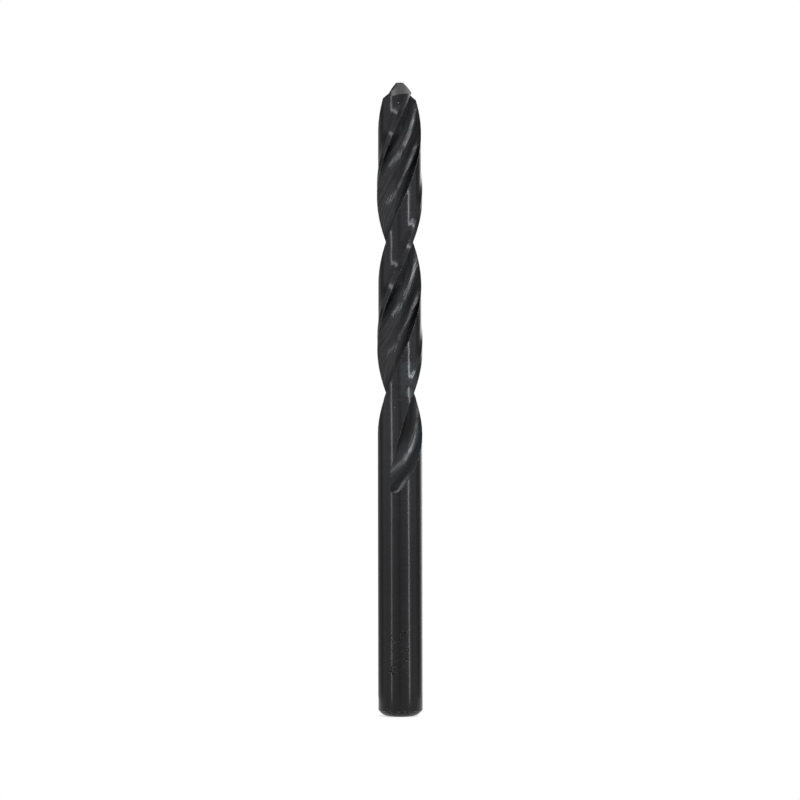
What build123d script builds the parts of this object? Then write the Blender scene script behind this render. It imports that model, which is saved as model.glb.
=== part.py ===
"""Jobber-length twist drill, right-hand, ground from one bar of high-speed steel.

The drill stands on its shank end: its axis is Z, the shank end lies in Z = 0 and the
point is at the top. Lengths are millimetres and angles are degrees.

The bar is turned first. Then three kinds of cutter pass over it, each one twice, half a
turn apart: the flute cutter, the clearance cutter behind each margin, and the cone that
grinds each flank of the point.
"""
import os
from math import atan2, cos, degrees, radians, sin, sqrt, tan

from build123d import *

# Whole drill
overall_length = 125.0
flute_length = 80.8  # from the point to where the flutes have run out
helix_lead = 60.0  # height of one full turn of the flutes
leading_edge_angle = 315.8  # direction of the first leading edge at the height of the point

# Ground body, which cuts and guides
cutting_diameter = 9.0
back_taper = 0.06  # loss of diameter from the point to the end of the ground body
ground_length = 62.8  # from the point down to the step at the shank diameter
ground_step = 0.5  # height of the small cone at that step

# Shank
shank_diameter = 8.8
end_flat_diameter = 4.3  # flat inside the rounded edge of the shank end
end_edge_height = 1.23
end_edge_crown = 0.3  # how far the rounded edge stands proud of a straight chamfer

# Flutes
web_thickness = 2.35  # core left between the flutes
web_taper = 0.2  # growth of the core over each 100 mm towards the shank
thinned_web = 1.2  # core at the chisel edge, where the point is thinned
thinning_length = 4.0  # from the point to where the thinning has run out
land_angle = 76.0  # arc of a land, from its leading edge back to its heel
runout_length = 17.1  # over which the flute cutter climbs out of the bar
runout_rise = 1.015  # its climb, as a share of the steel between the core and the surface
runout_bend = 1.12  # 1 is a straight climb, more starts it gently
runout_lift = 0.12  # share of the climb that comes as a steep lift at the end
runout_lift_bend = 6.0  # more keeps that lift nearer to the end
runout_lean = 16.8  # angle by which the climb leans away from the leading wall

# Lands: the margin guides the drill, and the rest of the land is cleared
margin_angle = 12.8
shoulder_angle = 17.0  # from the margin down to the cleared land
shoulder_slope = 11.0  # at the margin, where the shoulder starts
land_clearance = 0.25  # depth of the cleared land below the margin
clearance_length = 53.7  # from the point to where the clearance starts to climb
clearance_climb = 9.6  # height over which it comes up to the margin again

# Point: each flank is part of a cone, tilted towards its lip and set ahead of the axis
point_angle = 121.0
cone_angle = 68.0
cone_reach = 5.8  # along the cone's axis, from its apex to the tip of the drill
cone_lead = 1.25  # how far the cone's axis runs ahead of the drill's axis

# Cutters
overrun = 0.6  # how far each cutter reaches past the steel
heel_overrun = 12.0  # angle by which the clearance cutter runs on past the heel
section_twist = 12.0  # twist between two sections of a cutter's path

cutting_radius = cutting_diameter / 2
shank_radius = shank_diameter / 2
cleared_radius = cutting_radius - land_clearance
cutter_radius = cutting_radius + overrun
lip_slope = 1 / tan(radians(point_angle / 2))
flute_end = overall_length - flute_length
runout_start = flute_end + runout_length
clearance_start = overall_length - clearance_length
clearance_end = clearance_start - clearance_climb


def leading_edge_at(height):
    """Direction of the first leading edge at a height, on a right-hand helix."""
    return leading_edge_angle - 360 * (overall_length - height) / helix_lead


def web_at(height):
    """Core thickness at a height, thinned towards the point."""
    depth = overall_length - height
    thinning = (web_thickness - thinned_web) * max(0, 1 - depth / thinning_length) ** 2
    return web_thickness + web_taper * depth / 100 - thinning


def polar(radius, angle):
    """Point at a radius, in a direction given in degrees."""
    return Vector(radius * cos(radians(angle)), radius * sin(radians(angle)))


def direction(point):
    """Direction of a point, seen from the axis."""
    return degrees(atan2(point.Y, point.X))


def bar():
    """The turned bar: shank with its rounded end, step, and ground body."""
    step_bottom = overall_length - ground_length
    flat_edge = (end_flat_diameter / 2, 0)
    shank_edge = (shank_radius, end_edge_height)
    outline = Polyline(
        shank_edge,
        (shank_radius, step_bottom),
        (cutting_radius - back_taper / 2, step_bottom + ground_step),
        (cutting_radius, overall_length),
        (0, overall_length),
        (0, 0),
        flat_edge,
    )
    rounded_edge = SagittaArc(flat_edge, shank_edge, -end_edge_crown)
    return revolve(Plane.XZ * make_face(outline + rounded_edge), Axis.Z)


def rake_point(reach, half_web):
    """Point of the flute's leading wall, at a reach along the lip.

    The lip is a straight line, half a web ahead of the axis, that falls at half the point
    angle. Each of its points is wound up the helix to the height of the lip's root.
    """
    winding = 360 * reach * lip_slope / helix_lead
    return Vector(reach, half_web).rotate(Axis.Z, winding)


def corner_at(half_web):
    """Point of the leading wall that lies on the cutting diameter."""
    return rake_point(sqrt(cutting_radius**2 - half_web**2), half_web)


def flute_section(height):
    """Section of the flute cutter: leading wall, outside of the bar, heel wall."""
    half_web = web_at(height) / 2
    root = Vector(0, half_web)
    rake_reach = sqrt(cutter_radius**2 - half_web**2)
    rake = [rake_point(rake_reach * step / 4, half_web) for step in range(5)]

    corner_direction = direction(corner_at(half_web))
    heel = polar(cleared_radius, corner_direction + 180 - land_angle)
    heel_rise = heel.Y - half_web
    wall_radius = (heel.X**2 + heel_rise**2) / (2 * heel_rise)
    wall_centre = half_web + wall_radius
    swing = (cutter_radius**2 - wall_centre**2 - wall_radius**2) / (2 * wall_centre * wall_radius)
    heel_end = Vector(-wall_radius * sqrt(1 - swing**2), wall_centre + wall_radius * swing)

    leading_wall = Spline(*rake, tangents=[(1, 0), rake[-1] - rake[-2]])
    outside = ThreePointArc(rake[-1], (rake[-1] + heel_end).normalized() * cutter_radius, heel_end)
    heel_wall = TangentArc(root, heel_end, tangent=(-1, 0))
    section = Wire((leading_wall + outside + heel_wall).edges())

    runout = max(0, runout_start - height) / runout_length
    gentle_share = (1 - runout_lift) * runout**runout_bend
    lift_share = runout_lift * runout**runout_lift_bend
    climb = runout_rise * (shank_radius - half_web) * (gentle_share + lift_share)
    place = polar(climb, 90 + runout_lean) + Vector(0, 0, height)
    turn = leading_edge_at(height) - corner_direction
    return section.translate(place).rotate(Axis.Z, turn)


def clearance_section(height):
    """Section of the clearance cutter: shoulder, outside of the bar, floor."""
    climb = land_clearance * max(0, clearance_start - height) / clearance_climb
    shoulder_end = margin_angle + shoulder_angle
    floor_end = land_angle + heel_overrun
    margin_edge = polar(cutting_radius + climb, -margin_angle)
    floor_radius = cleared_radius + climb
    floor_edge = polar(floor_radius, -shoulder_end)
    floor_back = polar(floor_radius, -floor_end)

    floor_tangent = polar(1, 90 - shoulder_end)
    margin_tangent = polar(1, 90 - margin_angle - shoulder_slope)
    shoulder = Spline(floor_edge, margin_edge, tangents=[floor_tangent, margin_tangent])
    front = Line(margin_edge, polar(cutter_radius, -margin_angle))
    outside_middle = polar(cutter_radius, -(margin_angle + floor_end) / 2)
    outside = ThreePointArc(front @ 1, outside_middle, polar(cutter_radius, -floor_end))
    back = Line(outside @ 1, floor_back)
    floor_middle = polar(floor_radius, -(shoulder_end + floor_end) / 2)
    floor = ThreePointArc(floor_back, floor_middle, floor_edge)
    section = Wire((shoulder + front + outside + back + floor).edges())
    return section.translate((0, 0, height)).rotate(Axis.Z, leading_edge_at(height))


def cutter_path(section, low):
    """Solid that a cutter sweeps, from a low height to just above the point."""
    top = overall_length + overrun
    count = round(360 * (top - low) / helix_lead / section_twist)
    return Solid.make_loft([section(low + (top - low) * step / count) for step in range(count + 1)])


def flank_cutter():
    """Everything that the first flank grinds off the bar.

    The cone's surface passes through the tip. It meets its twin, half a turn away, in the
    chisel edge, and the lip starts where the chisel edge leaves the web.
    """
    half_cone = radians(cone_angle / 2)
    tilt = radians(point_angle / 2) - half_cone
    across = sqrt((cone_reach * tan(half_cone)) ** 2 - cone_lead**2)
    apex = Vector(
        -cone_reach * sin(tilt) - across * cos(tilt),
        cone_lead,
        overall_length + cone_reach * cos(tilt) - across * sin(tilt),
    )
    cone_length = 3 * cutting_diameter
    cone_plane = Plane(apex, z_dir=(sin(tilt), 0, -cos(tilt)))
    cone = Solid.make_cone(0, cone_length * tan(half_cone), cone_length, cone_plane)

    chisel_slope = (across * cos(tilt) - cone_reach * tan(half_cone) ** 2 * sin(tilt)) / cone_lead
    half_web = thinned_web / 2
    lip_root = overall_length + lip_slope * half_web / chisel_slope
    turn = leading_edge_at(lip_root) - direction(corner_at(half_web))
    slab_plane = Plane((0, 0, overall_length - cutting_diameter))
    slab = Solid.make_cylinder(cutter_radius, cutting_diameter + overrun, slab_plane)
    return (slab - cone).rotate(Axis.Z, turn)


def drill():
    """The bar with both flanks, both flutes and both clearances cut."""
    steel = bar()
    flute = cutter_path(flute_section, flute_end - overrun)
    clearance = cutter_path(clearance_section, clearance_end - overrun)
    for cutter in (flank_cutter(), flute, clearance):
        for turn in (0, 180):
            steel -= cutter.rotate(Axis.Z, turn)
    return steel


os.makedirs("parts", exist_ok=True)
export_step(drill(), "parts/drill_bit.step")
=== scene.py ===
"""A jobber twist drill in black oxide steel, and a small white studio round it.

Everything is in metres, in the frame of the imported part: the drill stands on its shank
end in Z = 0 and its axis is Z. The studio's front is at -Y.
"""
import math

import bmesh
import bpy
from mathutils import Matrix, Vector

bl_info = {
    "name": "Twist drill",
    "version": (1, 0, 0),
    "blender": (4, 5, 0),
    "location": "View3D > Sidebar > Drill",
    "description": "Steel finish, lamps and camera for a jobber twist drill",
    "category": "Object",
}

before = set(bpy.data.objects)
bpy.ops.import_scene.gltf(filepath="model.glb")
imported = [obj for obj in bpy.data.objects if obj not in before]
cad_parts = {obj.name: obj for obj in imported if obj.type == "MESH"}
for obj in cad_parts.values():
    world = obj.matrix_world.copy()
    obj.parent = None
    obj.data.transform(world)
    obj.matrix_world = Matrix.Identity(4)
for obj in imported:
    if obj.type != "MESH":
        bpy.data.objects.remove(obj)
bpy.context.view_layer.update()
DRILL = "drill_bit"
MM = 0.001


def mm(*sizes):
    """Sizes given in millimetres, in metres."""
    return tuple(size * MM for size in sizes)


# The helix of the flutes, and directions about the axis at the helix's start in Z = 0
HELIX_LEAD = 60 * MM
FLUTE_DIRECTION = math.radians(338)
LEADING_DIRECTION = math.radians(105.8)
HEEL_DIRECTION = LEADING_DIRECTION - math.radians(76)
WHEEL_SLANT = 0.41

# Heights at which the finish changes: a pair is where a change starts and where it is full,
# and four values are a band with both its ends
GROUND_FOOT = 62.2 * MM
NICKED_END = mm(1.9, 0.9)
ROUNDED_END = mm(1.3, 2.5)
STAMP_HEIGHT = mm(7.6, 8.6, 16.6, 17.6)
GROUND_HEIGHT = (28 * MM, GROUND_FOOT)
STEP_HEIGHT = (GROUND_FOOT - 0.15 * MM, GROUND_FOOT, GROUND_FOOT + 0.6 * MM, GROUND_FOOT + 0.75 * MM)
CLEARANCE_END_HEIGHT = (GROUND_FOOT + 0.5 * MM, GROUND_FOOT + 0.8 * MM, 70.5 * MM, 71.5 * MM)
ROUGH_RUN_OUT_HEIGHT = mm(64, 58)
# Heights of the painted shade in the flutes beside the lip and the heel
LIP_SHADE_HEIGHT = mm(62, 58)
HEEL_SHADE_HEIGHT = mm(62, 66)
# Margins near the point: real wear and a painted highlight
MARGIN_WEAR_AND_HIGHLIGHT_HEIGHT = mm(118, 121.5)
FLANK_HEIGHT = mm(121.2, 121.4)

# The same for distances from the axis, across the drill, and ahead of a leading edge or a heel
WALL_RADIUS = 4.12 * MM
WALL_START = (WALL_RADIUS - 0.1 * MM, WALL_RADIUS)
MARGIN_START = mm(4.4, 4.44)
CLEARANCE_END_RADIUS = mm(4.265, 4.29, 4.44, 4.475)
CLEARANCE_END_SIDE = mm(-0.3, 0.1)
STAMP_SIDE = mm(-3.6, -3.0, 1.2, 1.8)
STAMP_FRONT = mm(0, -1)
# Widths of the painted shade in the flutes beside the lip and the heel
LIP_SHADE_WIDTH = mm(0, 0.3, 0.9, 1.5)
HEEL_SHADE_WIDTH = mm(-2.0, -1.1, -0.3, 0.1)
HEEL_SHADE_REACH = mm(1.7, 2.6)
# Width of the margins' wear and painted highlight
MARGIN_WEAR_AND_HIGHLIGHT_WIDTH = mm(-0.6, -0.25)
# Middle of each flank, and the distance from it where its painted sheen starts and is full
FLANK_MIDDLE = 0.3 * MM
FLANK_SHEEN_SIDE = mm(0.5, 1.6)

# The same for how far a face looks away from the axis, or up
WALL_FACING = (0.86, 0.93)
FLANK_RISE = (0.45, 0.6)

# Noise: grains to the metre, detail and roughness, and for the drawn grain the last two
CLOUDS = (160, 3, 0.55)
TINTS = (210, 1, 0.5)
STAMP_CURLS = (620, 0, 0.5)
EDGE_PATCHES = (900, 3, 0.7)
STAMP_REMAINS = (1300, 2, 0.6)
RIPPLE = (1400, 2, 0.5)
NICKS = (1500, 3, 0.7)
FLANK_ARCS = (3200, 2, 0.6)
RING_DETAIL = (3, 0.6)
STREAK_DETAIL = (3, 0.62)

# How the noise is drawn out: streaks along the flutes, rings round a small circle, a ripple
STREAK_STRETCH = (0.3, 0.05)
RING_CIRCLE = 0.35 * MM
RIPPLE_STRETCH = (1, 1, 0.35)

# Levels of the noise, and what they do to shade and roughness
TINT_LEVELS = (0.42, 0.6)
CLOUD_SHADES = (0.75, 1.25)
RING_LEVELS = (0.3, 0.7)
RING_SHADES = (0.92, 1.08)
RING_ROUGHNESS = (-0.05, 0.05)
STREAK_LEVELS = (0.34, 0.66)
STREAK_SHADES = (0.6, 1.5)
STREAK_ROUGHNESS = (0.34, 0.18)
SHANK_TO_LAND_ROUGHNESS = (0.34, 0.18)
RUN_OUT_ROUGHNESS = 0.12
WORN_MARGIN_ROUGHNESS = 0.36
SPECK_ROUGHNESS = 0.6

# Painted shade: how much of the light each place keeps or loses, in the flutes' walls, at the ground
# step, in the flanks' middles and in sunk stamp marks, and the painted sheen on the flanks' sides
WALL_SHADE_LOSS = 0.5
# Painted shade at the ground step, as a share of the walls' shade
STEP_SHADE_SHARE = 0.2
FLANK_SHADES = (0.4, 1.3)
SHADED_FLANK_COAT_LOSS = 0.65
MARK_COAT_LOSS = 0.6

# Wear that is partly a painted highlight, specks, stamp marks with painted shade and highlight, and
# nicks
EDGE_RADIUS = 0.13 * MM
EDGE_SAMPLES = 6
EDGE_FLATNESS = (0.995, 0.9)
EDGE_PATCH_LEVELS = (0.42, 0.62)
# Edges: real wear and a painted highlight
EDGE_WEAR_AND_HIGHLIGHT = (0.08, 0.83)
MARGIN_WEAR_AND_HIGHLIGHT_SHARE = 0.35
SPECK_LEVELS = (0.019, 0.011)
SPECK_CHANCE = (0.5, 1.0)
SPECK_COLOUR = (0.35, 0.35, 0.34)
STAMP_REMAINS_LEVELS = (0.44, 0.54)
MARK_LEVELS = (0.03, 0.012)
# Painted shade on the sunk side and a painted highlight on the lit side of the stamp marks
SUNK_LEVEL = 0.52
SUNK_SHADE_COLOUR = (0.002, 0.002, 0.002)
SUNK_SHADE_SHARE = 0.85
LIT_LEVEL = 0.48
LIT_COLOUR = (0.09, 0.09, 0.09)
LIT_SHARE = 0.35
NICK_LEVELS = (0.57, 0.64)
NICK_COLOUR = (0.16, 0.16, 0.16)
NICK_SHARE = 0.6

# Relief, as shares of its depth
RELIEF_DEPTH = 0.03 * MM
RING_RELIEF = 0.12
ARC_RELIEF = 0.4
MARK_RELIEF = -1.3
NICK_RELIEF = -0.8
RIPPLE_RELIEF = 0.17

COAT_ROUGHNESS = 0.1
COAT_IOR = 1.31


class DrillFinish(bpy.types.PropertyGroup):
    """Colours and grain of the black oxide steel."""

    shank_colour: bpy.props.FloatVectorProperty(
        name="Shank colour",
        description="Oxide on the turned shank",
        subtype="COLOR",
        size=3,
        min=0,
        max=1,
        default=(0.0120, 0.0117, 0.0133),
    )
    land_colour: bpy.props.FloatVectorProperty(
        name="Land colour",
        description="Oxide on the ground lands and margins",
        subtype="COLOR",
        size=3,
        min=0,
        max=1,
        default=(0.0278, 0.0266, 0.0298),
    )
    flute_colour: bpy.props.FloatVectorProperty(
        name="Flute colour",
        description="Oxide in the ground flutes",
        subtype="COLOR",
        size=3,
        min=0,
        max=1,
        default=(0.0222, 0.0252, 0.0266),
    )
    warm_colour: bpy.props.FloatVectorProperty(
        name="Warm flute colour",
        description="Oxide in the flutes where it turns towards violet",
        subtype="COLOR",
        size=3,
        min=0,
        max=1,
        default=(0.0233, 0.0220, 0.0242),
    )
    clearance_end_colour: bpy.props.FloatVectorProperty(
        name="Clearance end colour",
        description="Steel where the land clearance runs out",
        subtype="COLOR",
        size=3,
        min=0,
        max=1,
        default=(0.0435, 0.0482, 0.0506),
    )
    flank_colour: bpy.props.FloatVectorProperty(
        name="Flank colour",
        description="Steel of the ground point",
        subtype="COLOR",
        size=3,
        min=0,
        max=1,
        default=(0.0200, 0.0193, 0.0205),
    )
    # Worn steel, also a painted highlight on the edges and the margins near the point
    wear_and_highlight_colour: bpy.props.FloatVectorProperty(
        name="Worn colour",
        description="Brighter steel where an edge has lost its oxide",
        subtype="COLOR",
        size=3,
        min=0,
        max=1,
        default=(0.17, 0.162, 0.166),
    )
    streak_width: bpy.props.FloatProperty(
        name="Streak width",
        description="Width of the drawn streaks in the flutes",
        default=0.3 * MM,
        min=0.05 * MM,
        unit="LENGTH",
    )
    ring_pitch: bpy.props.FloatProperty(
        name="Ring pitch",
        description="Spacing of the grinding rings on the round walls",
        default=0.45 * MM,
        min=0.05 * MM,
        unit="LENGTH",
    )
    speck_spacing: bpy.props.FloatProperty(
        name="Speck spacing",
        description="Distance between specks and pits",
        default=6 * MM,
        min=1 * MM,
        unit="LENGTH",
    )


class StudioLooks(bpy.types.PropertyGroup):
    """Camera and lamps."""

    camera_distance: bpy.props.FloatProperty(
        name="Camera distance", description="From the drill's axis", default=0.78, unit="LENGTH"
    )
    camera_height: bpy.props.FloatProperty(
        name="Camera height", description="Above the floor", default=0.06235, unit="LENGTH"
    )
    camera_roll: bpy.props.FloatProperty(
        name="Camera roll",
        description="About its line of sight",
        default=math.radians(0.1),
        subtype="ANGLE",
    )
    frame_width: bpy.props.FloatProperty(
        name="Frame width", description="Width seen at the axis", default=0.15784, unit="LENGTH"
    )
    lamp_distance: bpy.props.FloatProperty(
        name="Lamp distance", description="From each lamp to where it aims", default=0.5, unit="LENGTH"
    )
    lamp_azimuth: bpy.props.FloatProperty(
        name="Strip azimuth",
        description="Of each strip lamp from the camera",
        default=math.radians(48.6),
        subtype="ANGLE",
    )
    left_radiance: bpy.props.FloatProperty(
        name="Left strip", description="Radiance of the left strip", default=3.9, min=0
    )
    right_radiance: bpy.props.FloatProperty(
        name="Right strip", description="Radiance of the right strip", default=6.0, min=0
    )
    left_panel_radiance: bpy.props.FloatProperty(
        name="Left panel", description="Radiance of the raised left panel", default=3.0, min=0
    )
    right_panel_radiance: bpy.props.FloatProperty(
        name="Right panels", description="Radiance of the two right panels", default=4.3, min=0
    )
    top_radiance: bpy.props.FloatProperty(
        name="Top panel", description="Radiance of the top panel", default=1.1, min=0
    )
    floor_radius: bpy.props.FloatProperty(
        name="Floor radius", description="Of the round floor", default=0.05, unit="LENGTH"
    )


# Node helpers


def put(tree, kind, sockets=None, **settings):
    """A new node, with its settings made and its sockets set or joined."""
    node = tree.nodes.new(kind)
    for name, value in settings.items():
        setattr(node, name, value)
    for name, value in (sockets or {}).items():
        if isinstance(value, bpy.types.NodeSocket):
            tree.links.new(value, node.inputs[name])
        else:
            node.inputs[name].default_value = value
    return node


def maths(tree, operation, *values, clamp=False):
    """One operation on numbers."""
    sockets = dict(enumerate(values))
    return put(tree, "ShaderNodeMath", sockets, operation=operation, use_clamp=clamp).outputs[0]


def product(tree, *factors):
    """All the factors multiplied in order."""
    result = factors[0]
    for factor in factors[1:]:
        result = maths(tree, "MULTIPLY", result, factor)
    return result


def outside(tree, mask):
    """1 where the mask is 0, and 0 where it is 1."""
    return maths(tree, "SUBTRACT", 1.0, mask)


def added(tree, value, factor, rest):
    """The value times the factor, on top of the rest."""
    return maths(tree, "MULTIPLY_ADD", value, factor, rest)


def level(tree, value, at_zero, at_one):
    """Straight change from one level to another as the value goes from 0 to 1."""
    return added(tree, value, at_one - at_zero, at_zero)


def step(tree, value, start, full, at_start=0.0, at_full=1.0):
    """Smooth change from one level to another as the value passes from start to full."""
    sockets = {
        "Value": value,
        "From Min": start,
        "From Max": full,
        "To Min": at_start,
        "To Max": at_full,
    }
    return put(tree, "ShaderNodeMapRange", sockets, interpolation_type="SMOOTHSTEP").outputs["Result"]


def band(tree, value, low, low_full, high_full, high):
    """1 between the two full values, down to 0 at low and at high."""
    return product(tree, step(tree, value, low, low_full), step(tree, value, high, high_full))


def near(tree, value, middle, start, full):
    """1 where the value is close to the middle, from 0 at the start's distance from it."""
    distance = maths(tree, "ABSOLUTE", maths(tree, "SUBTRACT", value, middle))
    return step(tree, distance, start, full)


def vector_maths(tree, operation, *values):
    """One operation on vectors."""
    node = put(tree, "ShaderNodeVectorMath", dict(enumerate(values)), operation=operation)
    return node.outputs["Value" if operation in ("DOT_PRODUCT", "LENGTH") else "Vector"]


def scaled(tree, vector, factor):
    """A vector or colour times one number."""
    sockets = {0: vector, "Scale": factor}
    return put(tree, "ShaderNodeVectorMath", sockets, operation="SCALE").outputs["Vector"]


def stretched(tree, place, stretch):
    """A place scaled along each axis."""
    return put(tree, "ShaderNodeMapping", {"Vector": place, "Scale": stretch}).outputs[0]


def turned(tree, place, angle):
    """A place turned about the drill's axis."""
    return put(
        tree, "ShaderNodeVectorRotate", {"Vector": place, "Angle": angle}, rotation_type="Z_AXIS"
    ).outputs[0]


def parts(tree, vector):
    """The X, Y and Z of a vector."""
    return put(tree, "ShaderNodeSeparateXYZ", {0: vector}).outputs


def vector_of(tree, **coordinates):
    """A vector of the coordinates X, Y and Z, with 0 for those not given."""
    return put(tree, "ShaderNodeCombineXYZ", coordinates).outputs[0]


def noise(tree, place, scale, detail, roughness):
    """Noise of so many grains to the metre."""
    sockets = {"Vector": place, "Scale": scale, "Detail": detail, "Roughness": roughness}
    return put(tree, "ShaderNodeTexNoise", sockets).outputs["Fac"]


# The Mix node's two inputs and its output, for numbers and for colours
NUMBER_SOCKETS = (2, 3, 0)
COLOUR_SOCKETS = (6, 7, 2)


def between_numbers(tree, share, first, second):
    """Number between two numbers."""
    start, end, result = NUMBER_SOCKETS
    sockets = {"Factor": share, start: first, end: second}
    return put(tree, "ShaderNodeMix", sockets, data_type="FLOAT").outputs[result]


def between_colours(tree, share, first, second):
    """Colour between two colours, each a socket or three numbers."""
    start, end, result = COLOUR_SOCKETS
    first, second = (
        colour if isinstance(colour, bpy.types.NodeSocket) else (*colour, 1)
        for colour in (first, second)
    )
    sockets = {"Factor": share, start: first, end: second}
    return put(tree, "ShaderNodeMix", sockets, data_type="RGBA").outputs[result]


# Steel


def ahead(tree, axes):
    """Distance ahead of the X axis the way the drill turns, the same on both its halves."""
    return product(tree, axes["Y"], maths(tree, "SIGN", axes["X"]))


def drill_places(tree):
    """Where a point of the surface lies on the drill, and which way it faces."""
    place = put(tree, "ShaderNodeTexCoord").outputs["Object"]
    normal = put(tree, "ShaderNodeNewGeometry").outputs["Normal"]
    axes = parts(tree, place)
    across = vector_maths(tree, "MULTIPLY", place, (1, 1, 0))
    outward = vector_maths(tree, "NORMALIZE", across)
    front_or_back = maths(tree, "SIGN", maths(tree, "MULTIPLY", axes["Y"], -1.0))
    unwound = turned(tree, place, maths(tree, "MULTIPLY", axes["Z"], -2 * math.pi / HELIX_LEAD))
    from_edge = parts(tree, turned(tree, unwound, -LEADING_DIRECTION))
    from_heel = parts(tree, turned(tree, unwound, -HEEL_DIRECTION))
    around = product(tree, maths(tree, "ARCTAN2", axes["Y"], axes["X"]), WALL_RADIUS)
    return {
        "place": place,
        "axes": axes,
        "height": axes["Z"],
        "radius": vector_maths(tree, "LENGTH", across),
        "outward": outward,
        "normal": normal,
        "facing": vector_maths(tree, "DOT_PRODUCT", outward, normal),
        "rise": parts(tree, normal)["Z"],
        "side": product(tree, axes["X"], front_or_back),
        "unwound": unwound,
        "ahead_of_edge": ahead(tree, from_edge),
        "ahead_of_heel": ahead(tree, from_heel),
        "heel_reach": maths(tree, "ABSOLUTE", from_heel["X"]),
        "on_wall": vector_of(tree, X=around, Y=axes["Z"]),
    }


def steel_regions(tree):
    """The places on the drill, and masks of its flutes, flanks, margins and so on."""
    region = drill_places(tree)
    height = region["height"]
    radius = region["radius"]
    round_wall = product(
        tree, step(tree, region["facing"], *WALL_FACING), step(tree, radius, *WALL_START)
    )
    flank = product(tree, step(tree, height, *FLANK_HEIGHT), step(tree, region["rise"], *FLANK_RISE))
    flute = product(
        tree, outside(tree, round_wall), outside(tree, flank), step(tree, height, *ROUNDED_END)
    )
    clearance_end = product(
        tree,
        band(tree, height, *CLEARANCE_END_HEIGHT),
        step(tree, region["side"], *CLEARANCE_END_SIDE),
        band(tree, radius, *CLEARANCE_END_RADIUS),
        round_wall,
    )
    # Painted shade in the flutes beside the heel and the lip
    heel_shade = product(
        tree,
        band(tree, region["ahead_of_heel"], *HEEL_SHADE_WIDTH),
        step(tree, region["heel_reach"], *HEEL_SHADE_REACH),
        step(tree, height, *HEEL_SHADE_HEIGHT),
    )
    lip_shade = product(
        tree, band(tree, region["ahead_of_edge"], *LIP_SHADE_WIDTH), step(tree, height, *LIP_SHADE_HEIGHT)
    )
    # Margins near the point: real wear and a painted highlight
    margin_wear_and_highlight = product(
        tree,
        step(tree, radius, *MARGIN_START),
        step(tree, height, *MARGIN_WEAR_AND_HIGHLIGHT_HEIGHT),
        step(tree, region["ahead_of_edge"], *MARGIN_WEAR_AND_HIGHLIGHT_WIDTH),
        outside(tree, flank),
    )
    # Painted sheen on both sides of each flank and painted shade in its middle
    flank_side = maths(tree, "ABSOLUTE", maths(tree, "SUBTRACT", region["side"], FLANK_MIDDLE))
    return region | {
        "flute": flute,
        "flank": flank,
        "flank_sheen": step(tree, flank_side, *FLANK_SHEEN_SIDE),
        "ground": step(tree, height, *GROUND_HEIGHT),
        "ground_step": band(tree, height, *STEP_HEIGHT),
        "clearance_end": clearance_end,
        "painted_wall_shade": product(tree, maths(tree, "MAXIMUM", heel_shade, lip_shade), flute),
        "margin_wear_and_highlight": margin_wear_and_highlight,
    }


def steel_grain(tree, finish, region):
    """Streaks along the helix in the flutes, rings on the walls and arcs on the flanks."""
    open_axes = parts(tree, turned(tree, region["unwound"], -FLUTE_DIRECTION))
    slant = maths(tree, "MULTIPLY", region["height"], WHEEL_SLANT)
    outwards, upwards = STREAK_STRETCH
    streak_place = vector_of(
        tree,
        X=maths(tree, "SUBTRACT", ahead(tree, open_axes), slant),
        Y=maths(tree, "MULTIPLY", open_axes["X"], outwards),
        Z=maths(tree, "MULTIPLY", region["height"], upwards),
    )
    circle = stretched(tree, region["outward"], (RING_CIRCLE, RING_CIRCLE, 0))
    ring_place = vector_maths(tree, "ADD", circle, stretched(tree, region["place"], (0, 0, 1)))
    arc_place = vector_of(tree, X=region["radius"])
    return {
        "streaks": noise(tree, streak_place, 1 / finish.streak_width, *STREAK_DETAIL),
        "rings": noise(tree, ring_place, 1 / finish.ring_pitch, *RING_DETAIL),
        "arcs": noise(tree, arc_place, *FLANK_ARCS),
    }


def wear_and_highlight_places(tree, region, soft_normal):
    """Patches of the sharp edges, and the margins beside the point: real wear and a painted highlight.
    """
    flatness = vector_maths(tree, "DOT_PRODUCT", soft_normal, region["normal"])
    patches = noise(tree, region["place"], *EDGE_PATCHES)
    edge = product(
        tree,
        step(tree, flatness, *EDGE_FLATNESS),
        step(tree, patches, *EDGE_PATCH_LEVELS, *EDGE_WEAR_AND_HIGHLIGHT),
    )
    return maths(tree, "MAXIMUM", edge, product(tree, region["margin_wear_and_highlight"], MARGIN_WEAR_AND_HIGHLIGHT_SHARE))


def specks(tree, finish, region):
    """Scattered specks outside the flutes."""
    cells = put(
        tree,
        "ShaderNodeTexVoronoi",
        {"Vector": region["on_wall"], "Scale": 1 / finish.speck_spacing, "Randomness": 1.0},
        feature="F1",
        voronoi_dimensions="2D",
    ).outputs
    chance = put(tree, "ShaderNodeSeparateColor", {0: cells["Color"]}).outputs["Red"]
    return product(
        tree,
        step(tree, cells["Distance"], *SPECK_LEVELS),
        step(tree, chance, *SPECK_CHANCE),
        outside(tree, region["flute"]),
    )


def stamp_marks(tree, region):
    """Painted shade on the sunk side and a painted highlight on the lit side of the curls left of a
    size stamp that has been rubbed away.
    """
    curls = noise(tree, region["on_wall"], *STAMP_CURLS)
    remains = noise(tree, region["on_wall"], *STAMP_REMAINS)
    stamped = product(
        tree,
        band(tree, region["height"], *STAMP_HEIGHT),
        band(tree, region["axes"]["X"], *STAMP_SIDE),
        step(tree, region["axes"]["Y"], *STAMP_FRONT),
        step(tree, remains, *STAMP_REMAINS_LEVELS),
    )
    return [
        product(tree, near(tree, curls, middle, *MARK_LEVELS), stamped)
        for middle in (SUNK_LEVEL, LIT_LEVEL)
    ]


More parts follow.
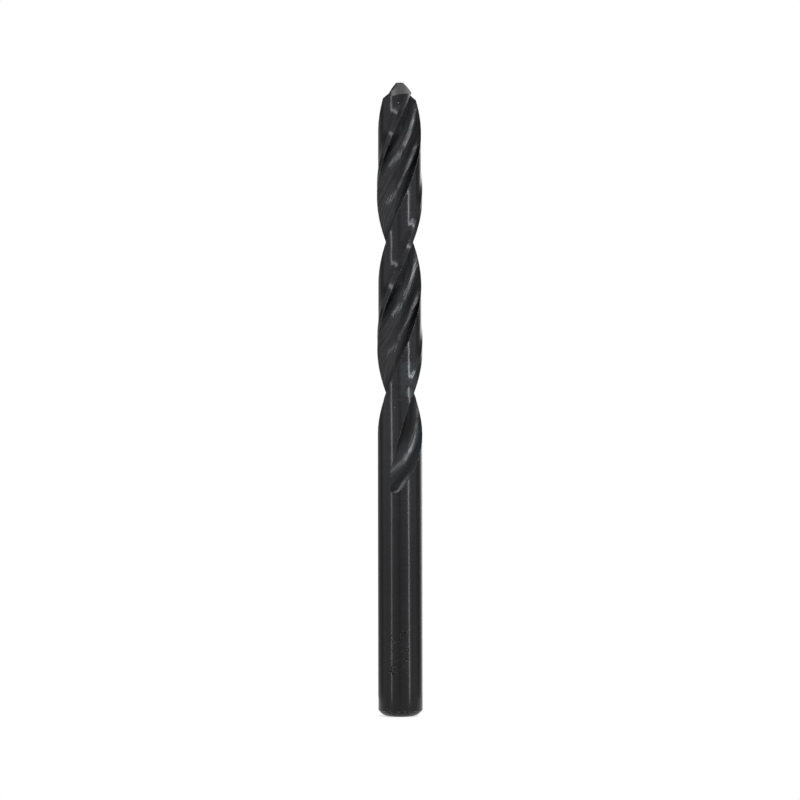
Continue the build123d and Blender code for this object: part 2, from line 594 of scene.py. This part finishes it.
def end_nicks(tree, region):
    """Knocks on the edge of the shank end."""
    knocks = noise(tree, region["on_wall"], *NICKS)
    return product(
        tree, step(tree, knocks, *NICK_LEVELS), step(tree, region["height"], *NICKED_END)
    )


def steel_flaws(tree, finish, region, soft_normal):
    """Masks of the wear with its painted highlight, the specks, the stamp marks with their painted
    shade and highlight, and the nicks.
    """
    shaded_sunk_mark, lit_mark = stamp_marks(tree, region)
    return {
        "wear_and_highlight": wear_and_highlight_places(tree, region, soft_normal),
        "speck": specks(tree, finish, region),
        "shaded_sunk_mark": shaded_sunk_mark,
        "lit_mark": lit_mark,
        "nicks": end_nicks(tree, region),
    }


def painted_steel_shade(tree, region):
    """Painted shade: how much light each place keeps, less in the flutes' walls beside the lip and the
    heel and at the ground step.
    """
    shadow = added(tree, region["ground_step"], STEP_SHADE_SHARE, region["painted_wall_shade"])
    return added(tree, shadow, -WALL_SHADE_LOSS, 1.0)


def steel_colour(tree, finish, region, grain, light):
    """Oxide of each surface, clouded by large soft patches and drawn by its grain, darkened by the
    painted shade and with a painted sheen on the flanks.
    """
    colour = between_colours(tree, region["ground"], finish.shank_colour, finish.land_colour)
    tint = step(tree, noise(tree, region["place"], *TINTS), *TINT_LEVELS)
    flute_colour = between_colours(tree, tint, finish.flute_colour, finish.warm_colour)
    colour = between_colours(tree, region["flute"], colour, flute_colour)
    colour = between_colours(tree, region["clearance_end"], colour, finish.clearance_end_colour)
    # Painted sheen on the flanks' sides and painted shade in their middles
    sheen_shade = level(tree, region["flank_sheen"], *FLANK_SHADES)
    flank_colour = scaled(tree, finish.flank_colour, sheen_shade)
    colour = between_colours(tree, region["flank"], colour, flank_colour)

    clouds = level(tree, noise(tree, region["place"], *CLOUDS), *CLOUD_SHADES)
    ring_shade = step(tree, grain["rings"], *RING_LEVELS, *RING_SHADES)
    streak_shade = step(tree, grain["streaks"], *STREAK_LEVELS, *STREAK_SHADES)
    drawn = between_numbers(tree, region["flute"], ring_shade, streak_shade)
    return scaled(tree, colour, product(tree, clouds, drawn, light))


def flawed_colour(tree, finish, colour, flaws):
    """The oxide's colour with its wear and painted highlight, specks, stamp marks with painted shade
    and highlight, and nicks.
    """
    layers = (
        (flaws["wear_and_highlight"], finish.wear_and_highlight_colour),
        (flaws["speck"], SPECK_COLOUR),
        # Painted shade and painted highlight of the stamp marks
        (product(tree, flaws["shaded_sunk_mark"], SUNK_SHADE_SHARE), SUNK_SHADE_COLOUR),
        (product(tree, flaws["lit_mark"], LIT_SHARE), LIT_COLOUR),
        (product(tree, flaws["nicks"], NICK_SHARE), NICK_COLOUR),
    )
    for share, layer_colour in layers:
        colour = between_colours(tree, share, colour, layer_colour)
    return colour


def steel_roughness(tree, region, grain, flaws):
    """Duller on the shank, in the low streaks and the run-out of the flutes, on the margins near the
    point and in specks.
    """
    rings = step(tree, grain["rings"], *RING_LEVELS, *RING_ROUGHNESS)
    wall = maths(tree, "ADD", rings, step(tree, region["ground"], 0.0, 1.0, *SHANK_TO_LAND_ROUGHNESS))
    streaks = step(tree, grain["streaks"], *STREAK_LEVELS, *STREAK_ROUGHNESS)
    run_out = step(tree, region["height"], *ROUGH_RUN_OUT_HEIGHT, 0.0, RUN_OUT_ROUGHNESS)
    flute = maths(tree, "ADD", streaks, run_out)
    rough = between_numbers(tree, region["flute"], wall, flute)
    rough = maths(tree, "MAXIMUM", rough, product(tree, flaws["speck"], SPECK_ROUGHNESS))
    return maths(tree, "MAXIMUM", rough, product(tree, region["margin_wear_and_highlight"], WORN_MARGIN_ROUGHNESS))


def steel_relief(tree, region, grain, flaws, soft_normal):
    """Normal with the grain, the marks, the nicks and a slight ripple over rounded edges."""
    rings = product(tree, grain["rings"], RING_RELIEF)
    relief = between_numbers(tree, region["flute"], rings, grain["streaks"])
    relief = added(tree, product(tree, grain["arcs"], region["flank"]), ARC_RELIEF, relief)
    relief = added(tree, flaws["shaded_sunk_mark"], MARK_RELIEF, relief)
    relief = added(tree, flaws["nicks"], NICK_RELIEF, relief)
    ripple = noise(tree, stretched(tree, region["place"], RIPPLE_STRETCH), *RIPPLE)
    relief = added(tree, ripple, RIPPLE_RELIEF, relief)
    sockets = {"Strength": 1.0, "Distance": RELIEF_DEPTH, "Height": relief, "Normal": soft_normal}
    return put(tree, "ShaderNodeBump", sockets).outputs[0]


def steel_coat(tree, region, flaws, light):
    """Weight of the oxide's gloss, less in the painted shade of the flutes' walls and the ground step,
    in the painted shade of the flanks' middles and in the shaded sunk marks.
    """
    shaded_flank_middle = product(tree, region["flank"], outside(tree, region["flank_sheen"]))
    coat = added(tree, shaded_flank_middle, -SHADED_FLANK_COAT_LOSS, light)
    return maths(tree, "MULTIPLY_ADD", flaws["shaded_sunk_mark"], -MARK_COAT_LOSS, coat, clamp=True)


def oxide_steel(finish):
    """Black oxide on turned and ground steel."""
    material = bpy.data.materials.new("black_oxide_steel")
    material.use_nodes = True
    tree = material.node_tree
    shader = tree.nodes["Principled BSDF"]
    soft_normal = put(tree, "ShaderNodeBevel", {"Radius": EDGE_RADIUS}, samples=EDGE_SAMPLES).outputs[0]
    region = steel_regions(tree)
    grain = steel_grain(tree, finish, region)
    flaws = steel_flaws(tree, finish, region, soft_normal)
    # Painted shade of the flutes' walls and the ground step, for the colour and the gloss
    light = painted_steel_shade(tree, region)
    colour = steel_colour(tree, finish, region, grain, light)
    relief = steel_relief(tree, region, grain, flaws, soft_normal)
    sockets = {
        "Base Color": flawed_colour(tree, finish, colour, flaws),
        "Roughness": steel_roughness(tree, region, grain, flaws),
        "Normal": relief,
        "Coat Normal": relief,
        "Coat Weight": steel_coat(tree, region, flaws, light),
    }
    for name, socket in sockets.items():
        tree.links.new(socket, shader.inputs[name])
    shader.inputs["Metallic"].default_value = 1.0
    shader.inputs["Coat Roughness"].default_value = COAT_ROUGHNESS
    shader.inputs["Coat IOR"].default_value = COAT_IOR
    return material


class DRILL_OT_steel(bpy.types.Operator):
    """Give the drill its black oxide steel"""

    bl_idname = "drill.steel"
    bl_label = "Steel"

    def execute(self, context):
        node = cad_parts[DRILL]
        if not node.material_slots:
            raise RuntimeError("the drill has no material slot")
        material = oxide_steel(context.scene.drill_finish)
        for material_slot in node.material_slots:
            material_slot.material = material
        return {"FINISHED"}


# Studio: azimuths are turned from the camera's side towards +X


def direction(azimuth, elevation=0.0):
    """Unit vector from the drill towards an azimuth and an elevation."""
    return Vector(
        (
            math.cos(elevation) * math.sin(azimuth),
            -math.cos(elevation) * math.cos(azimuth),
            math.sin(elevation),
        )
    )


STRIP_AIM = (0, 0, 0.22)
STRIP_SIZE = (0.05, 0.68)
LEFT_STRIP_TURN = math.radians(3)

# Panels: name, azimuth and elevation in degrees, aim, width and height, and its radiance
PANELS = (
    ("panel_left", -38, 32, (0, 0, 0.085), (0.14, 0.17), "left_panel_radiance"),
    ("panel_right", 50, 28, (0, 0, 0.085), (0.15, 0.2), "right_panel_radiance"),
    ("low_panel_right", 57, 10, (0, 0, 0.085), (0.07, 0.05), "right_panel_radiance"),
    ("top_panel", 165, 63, (0, 0, 0.1), (0.5, 0.4), "top_radiance"),
)

# The room's levels: where each change starts and is full, and its level at both
WHITE_DIRECTION = direction(math.radians(162))
WHITE_SPREAD = (0.87, 1.0)
UP_LEVELS = (-0.35, 0.55, 0.93, 0.41)
REAR_LEVELS = (-0.1, 0.35, 1.0, 0.32)
FRONT_DIRECTION = (-0.05, -0.9987, 0)
FRONT_LEVELS = (0.975, 0.996, 1.0, 0.7)
RIGHT_SPREAD = (0.5, 0.85)
LOW_SPREAD = (-0.1, -0.4)
LOW_RIGHT_LOSS = 0.55

FLOOR_SEGMENTS = 128
FLOOR_COLOUR = (0.85, 0.85, 0.85, 1)
FLOOR_ROUGHNESS = 0.9
FLOOR_GLOW = (0.62, 0.62, 0.62, 1)
FLOOR_MIRRORED_SHARE = 0.35
SENSOR_MM = 36


def area_lamp(name, distance, azimuth, elevation, aim, size, radiance):
    """A rectangular lamp that looks as bright as its radiance, placed round its aim."""
    width, height = size
    away = direction(azimuth, elevation)
    light = bpy.data.lights.new(name, "AREA")
    light.shape = "RECTANGLE"
    light.size = width
    light.size_y = height
    light.energy = radiance * math.pi * width * height
    lamp = bpy.data.objects.new(name, light)
    lamp.location = Vector(aim) + distance * away
    lamp.rotation_euler = (-away).to_track_quat("-Z", "Y").to_euler()
    bpy.context.scene.collection.objects.link(lamp)


def studio_lamps(looks):
    """Two tall strips and four panels."""
    strips = (
        ("strip_left", LEFT_STRIP_TURN - looks.lamp_azimuth, looks.left_radiance),
        ("strip_right", looks.lamp_azimuth, looks.right_radiance),
    )
    for name, azimuth, radiance in strips:
        area_lamp(name, looks.lamp_distance, azimuth, 0.0, STRIP_AIM, STRIP_SIZE, radiance)
    for name, azimuth, elevation, aim, size, radiance in PANELS:
        area_lamp(
            name,
            looks.lamp_distance,
            math.radians(azimuth),
            math.radians(elevation),
            aim,
            size,
            getattr(looks, radiance),
        )


def room_level(tree, where):
    """Grey that darkens upwards, to the rear, low on the right and straight in front."""
    axes = parts(tree, where)
    low_right = product(
        tree, step(tree, axes["X"], *RIGHT_SPREAD), step(tree, axes["Z"], *LOW_SPREAD)
    )
    in_front = vector_maths(tree, "DOT_PRODUCT", where, FRONT_DIRECTION)
    return product(
        tree,
        step(tree, axes["Z"], *UP_LEVELS),
        step(tree, axes["Y"], *REAR_LEVELS),
        added(tree, low_right, -LOW_RIGHT_LOSS, 1.0),
        step(tree, in_front, *FRONT_LEVELS),
    )


def studio_world(scene):
    """Grey room, white to the camera, and white behind the drill in what it mirrors."""
    world = bpy.data.worlds.new("studio")
    scene.world = world
    world.use_nodes = True
    tree = world.node_tree
    tree.nodes.clear()
    path = put(tree, "ShaderNodeLightPath").outputs
    where = put(tree, "ShaderNodeTexCoord").outputs["Generated"]
    behind = step(tree, vector_maths(tree, "DOT_PRODUCT", where, WHITE_DIRECTION), *WHITE_SPREAD)
    mirrored = maths(tree, "MAXIMUM", path["Is Glossy Ray"], path["Is Transmission Ray"])
    share = maths(tree, "MULTIPLY_ADD", mirrored, behind, path["Is Camera Ray"], clamp=True)
    grey = room_level(tree, where)
    white = put(tree, "ShaderNodeBackground", {"Color": (1, 1, 1, 1)}).outputs[0]
    room = put(tree, "ShaderNodeBackground", {"Color": (1, 1, 1, 1), "Strength": grey}).outputs[0]
    both = put(tree, "ShaderNodeMixShader", {0: share, 1: room, 2: white}).outputs[0]
    put(tree, "ShaderNodeOutputWorld", {"Surface": both})


def floor_material():
    """Pale floor, white to the camera and dimmer in the steel, that keeps the shadow."""
    material = bpy.data.materials.new("pale_floor")
    material.use_nodes = True
    tree = material.node_tree
    shader = tree.nodes["Principled BSDF"]
    path = put(tree, "ShaderNodeLightPath").outputs
    mirrored = maths(tree, "MAXIMUM", path["Is Glossy Ray"], path["Is Transmission Ray"])
    seen = maths(
        tree, "MULTIPLY_ADD", mirrored, FLOOR_MIRRORED_SHARE, path["Is Camera Ray"], clamp=True
    )
    tree.links.new(seen, shader.inputs["Emission Strength"])
    shader.inputs["Base Color"].default_value = FLOOR_COLOUR
    shader.inputs["Roughness"].default_value = FLOOR_ROUGHNESS
    shader.inputs["Specular IOR Level"].default_value = 0.0
    shader.inputs["Emission Color"].default_value = FLOOR_GLOW
    return material


def studio_floor(scene, looks):
    """A round pale floor under the drill."""
    shape = bmesh.new()
    bmesh.ops.create_circle(shape, cap_ends=True, segments=FLOOR_SEGMENTS, radius=looks.floor_radius)
    mesh = bpy.data.meshes.new("floor")
    shape.to_mesh(mesh)
    shape.free()
    mesh.materials.append(floor_material())
    floor = bpy.data.objects.new("floor", mesh)
    scene.collection.objects.link(floor)


def studio_camera(scene, looks):
    """A level camera in front of the drill."""
    data = bpy.data.cameras.new("camera")
    data.sensor_width = SENSOR_MM
    data.lens = data.sensor_width * looks.camera_distance / looks.frame_width
    camera = bpy.data.objects.new("camera", data)
    scene.collection.objects.link(camera)
    camera.location = (0, -looks.camera_distance, looks.camera_height)
    camera.rotation_euler = (math.pi / 2, looks.camera_roll, 0)
    scene.camera = camera


class DRILL_OT_stage(bpy.types.Operator):
    """Make the room, the floor, the lamps and the camera"""

    bl_idname = "drill.stage"
    bl_label = "Stage"

    def execute(self, context):
        scene = context.scene
        looks = scene.studio_looks
        scene.view_settings.view_transform = "Standard"
        studio_world(scene)
        studio_floor(scene, looks)
        studio_lamps(looks)
        studio_camera(scene, looks)
        return {"FINISHED"}


class DRILL_PT_panel(bpy.types.Panel):
    """Sizes, colours and lamps, and the operators that use them"""

    bl_label = "Twist drill"
    bl_space_type = "VIEW_3D"
    bl_region_type = "UI"
    bl_category = "Drill"

    def draw(self, context):
        for group in (context.scene.drill_finish, context.scene.studio_looks):
            column = self.layout.column()
            for name in group.__annotations__:
                column.prop(group, name)
        for operator in OPERATORS:
            self.layout.operator(operator.bl_idname)


OPERATORS = (DRILL_OT_steel, DRILL_OT_stage)
CLASSES = (DrillFinish, StudioLooks, *OPERATORS, DRILL_PT_panel)


def register():
    for cls in CLASSES:
        bpy.utils.register_class(cls)
    bpy.types.Scene.drill_finish = bpy.props.PointerProperty(type=DrillFinish)
    bpy.types.Scene.studio_looks = bpy.props.PointerProperty(type=StudioLooks)


def unregister():
    del bpy.types.Scene.studio_looks
    del bpy.types.Scene.drill_finish
    for cls in reversed(CLASSES):
        bpy.utils.unregister_class(cls)


def main():
    register()
    bpy.ops.drill.steel()
    bpy.ops.drill.stage()


if __name__ == "__main__":
    main()
